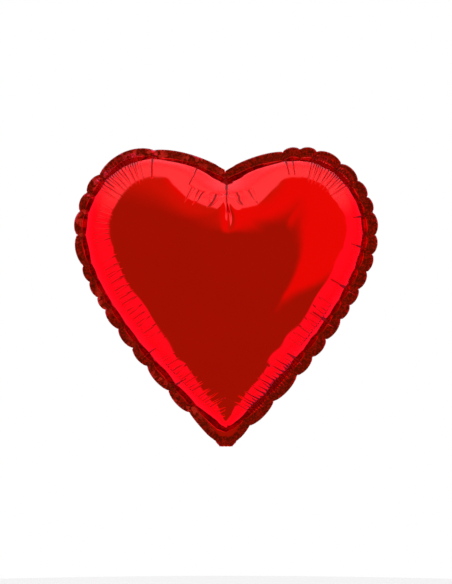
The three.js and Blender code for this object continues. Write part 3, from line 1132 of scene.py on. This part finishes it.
# Along the folded tail from the crease, square to its face and to the crease.
TAIL_ALONG = Vector((0, -TAIL_NORMAL.z, TAIL_NORMAL.y))
TAIL_LOW, TAIL_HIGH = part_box("tail_front_ply")
TAIL_HALF = (TAIL_HIGH.x - TAIL_LOW.x) / 2
TAIL_LENGTH = 54.0 * MM
VALVE_LOW, VALVE_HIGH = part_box("valve_film_front")
VALVE_TOP = VALVE_HIGH.z
VALVE_HALF = (VALVE_HIGH.x - VALVE_LOW.x) / 2
VALVE_OFFSET = 0.06 * MM  # of each valve film from the middle
VALVE_PUFF = 0.3 * MM  # how much further apart the middles of the valve films are in the tail
VALVE_GAPE = 0.25 * MM  # and inside the balloon, at the top
VALVE_THICKNESS = 0.08 * MM
VALVE_FROM_MOUTH = 3.0 * MM
TAIL_OFFSET = 0.26 * MM  # of each of the tail's foils from the middle
TAIL_PUFF = 0.75 * MM
TAIL_CURL = 0.6 * MM
TAIL_TWIST = 0.35 * MM
TAIL_CORNER = 4.0 * MM  # radius of the corners at the mouth
TAIL_SEAL_THICKNESS = 0.28 * MM
NECK_RIPPLE = 0.15 * MM
CREASE_RADIUS = 1.2 * MM
CREASE_STEPS = 22  # points of the tail's line from the neck to just past the crease
TAIL_STEPS = 68  # and from there to the mouth


def tail_line():
    """Middle line of the tail film in the plane x = 0, and its length.

    Each row is y, z, the line's direction in y and in z, and the distance along it. It starts at
    the neck, turns round the crease and runs up behind the tip.
    """
    down = np.array((0.0, -1.0))
    up = np.array((TAIL_ALONG.y, TAIL_ALONG.z))
    turn = math.acos(float(down @ up))
    tangent = CREASE_RADIUS * math.tan(turn / 2)
    straight = NECK_Z - tangent
    bend = CREASE_RADIUS * turn
    total = straight + bend + TAIL_LENGTH - tangent
    past_crease = straight + bend + 2 * MM
    near = np.linspace(0, past_crease, CREASE_STEPS, endpoint=False)
    far = np.linspace(past_crease, total, TAIL_STEPS)
    rows = []
    for s in (*near, *far):
        angle = min(max(s - straight, 0) / CREASE_RADIUS, turn)
        way = np.array((math.sin(angle), -math.cos(angle)))
        if s <= straight:
            place = np.array((0.0, NECK_Z - s))
        elif s <= straight + bend:
            centre = np.array((CREASE_RADIUS, tangent))
            place = centre + CREASE_RADIUS * np.array((-math.cos(angle), -math.sin(angle)))
        else:
            place = up * (tangent + s - straight - bend)
        rows.append((*place, *way, s))
    return np.array(rows), total


def tail_half_width(along):
    """Half the tail's width at a distance along it: narrow at the neck, full width further on."""
    return NECK_HALF + (TAIL_HALF - NECK_HALF) * smoothstep(along, 2 * MM, 16 * MM)


def sheet_faces(rows, columns):
    """The four-sided faces of a grid of points."""
    return [
        (i * columns + j, (i + 1) * columns + j, (i + 1) * columns + j + 1, i * columns + j + 1)
        for i in range(rows - 1)
        for j in range(columns - 1)
    ]


def tail_sheet(name, last, low, high, offset, bulge, thickness, material):
    """A film of the tail from the neck to last along it, and from low to high across it as shares.

    Offset is its distance in front of the tail's middle surface and bulge what the middle adds.
    """
    line, total = tail_line()
    keep = line[line[:, 4] <= last + 1e-9]
    columns = 28 if high - low > 1 else 6  # the seals are narrow strips
    across = np.linspace(low, high, columns)
    points = []
    for y, z, way_y, way_z, s in keep:
        corner = max(0.0, s - (total - TAIL_CORNER))
        corner_cut = TAIL_CORNER - math.sqrt(max(TAIL_CORNER**2 - corner**2, 0))
        half = float(tail_half_width(s)) - corner_cut
        puff = smoothstep(s, 5 * MM, 20 * MM)
        mouth = smoothstep(s, total - 14 * MM, total)
        gather = (1 - smoothstep(s, 3 * MM, 17 * MM)) * smoothstep(s, 0, 2 * MM)
        for v in across:
            lift = offset + bulge * max(0.0, 1 - (v / 0.8) ** 2) * (puff + 0.8 * mouth)
            ripple = NECK_RIPPLE * gather * math.cos(11 * v)
            curl = puff * (TAIL_CURL * (v**2 - 0.3) + TAIL_TWIST * math.sin(2.1 * v + 90 * s))
            w = lift + ripple + curl
            # The film's normal points forward at the neck and to the outside of the fold.
            points.append((half * v, y + w * way_z, z - w * way_y))
    side = np.abs(np.tile(across, len(keep)))
    # Crushed like the heart's border along the sealed sides, and less so between them, which also
    # brings in the border's painted shade and painted glints. The depth of a metre keeps the material
    # from drawing pleats.
    crinkle_shade_and_glint = np.clip(smoothstep(side, 0.68, 0.78) + 0.35, 0, 1)
    attributes = film_attributes(np.full(len(side), 0.5), side, np.full(len(side), 1.0), crinkle_shade_and_glint)
    faces = sheet_faces(len(keep), columns)
    return thicken(make_piece(name, points, faces, material, attributes), thickness)


def valve_sheet(name, side, material):
    """A film of the valve inside the balloon: narrow through the neck, wider above it."""
    heights = np.linspace(NECK_Z, VALVE_TOP, 30)
    across = np.linspace(-1, 1, 14)
    points = []
    for z in heights:
        half = VALVE_SHARE * NECK_HALF
        half += (VALVE_HALF - half) * float(smoothstep(z, 18 * MM, 34 * MM))
        open_by = VALVE_GAPE * float(smoothstep(z, 20 * MM, VALVE_TOP))
        for v in across:
            points.append((half * v, side * (VALVE_OFFSET + open_by * (1 - v**2)), z))
    faces = sheet_faces(len(heights), len(across))
    return thicken(make_piece(name, points, faces, material), VALVE_THICKNESS)


# ------------------------------------------------------------------ building it

add_camera()
add_floor()
add_world()
add_lamp("key", KEY_PLACE, KEY_TARGET, KEY_SIZE, KEY_POWER)
bpy.context.scene.view_settings.view_transform = "Standard"

SPACING = 3.5 * MM
FRAMES = 40
cut = Cut(SPACING)
blown = settle(blow_up(cut, SPACING, FRAMES), cut)

foil = foil_material()
seal = seal_material()
valve = valve_material()

for name, side, node in (("front_foil", -1, "front_panel"), ("back_foil", 1, "back_panel")):
    piece = panel_piece(name, cut, blown, side, foil)
    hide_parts(node)
    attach(piece, "balloon")

layer = seal_piece(cut, blown, seal)
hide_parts("edge_seal")
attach(layer, "balloon")

# The tail from the neck to its mouth. Both sheets of a pair lie the same distance from its middle.
tail_rows, TAIL_TOTAL = tail_line()
VALVE_END = TAIL_TOTAL - VALVE_FROM_MOUTH
tail_layers = {
    "red_foil": (foil, TAIL_TOTAL, FOIL),
    "valve_film": (valve, VALVE_END, VALVE_THICKNESS),
    "seal_layer": (seal, TAIL_TOTAL, TAIL_SEAL_THICKNESS),
}
narrow = (-VALVE_SHARE, VALVE_SHARE)
tail_pieces = (
    # name, node, slot, how far across from the left and to the right, offset, bulge
    ("tail_front_foil", "tail_front_ply", "red_foil", -1, 1, TAIL_OFFSET, TAIL_PUFF),
    ("tail_back_foil", "tail_back_ply", "red_foil", -1, 1, -TAIL_OFFSET, -TAIL_PUFF),
    ("tail_front_valve", "tail_valve_film_front", "valve_film", *narrow, VALVE_OFFSET, VALVE_PUFF),
    ("tail_back_valve", "tail_valve_film_back", "valve_film", *narrow, -VALVE_OFFSET, -VALVE_PUFF),
    ("tail_left_seal_layer", "tail_seal_left", "seal_layer", -1.02, -0.8, 0, 0),
    ("tail_right_seal_layer", "tail_seal_right", "seal_layer", 0.8, 1.02, 0, 0),
)
for name, node, slot, low, high, offset, bulge in tail_pieces:
    material, last, thickness = tail_layers[slot]
    piece = tail_sheet(name, last, low, high, offset, bulge, thickness, material)
    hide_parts(node)
    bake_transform(piece)

films = (("front_valve", -1, "valve_film_front"), ("back_valve", 1, "valve_film_back"))
for name, side, node in films:
    piece = valve_sheet(name, side, valve)
    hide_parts(node)
    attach(piece, "balloon")
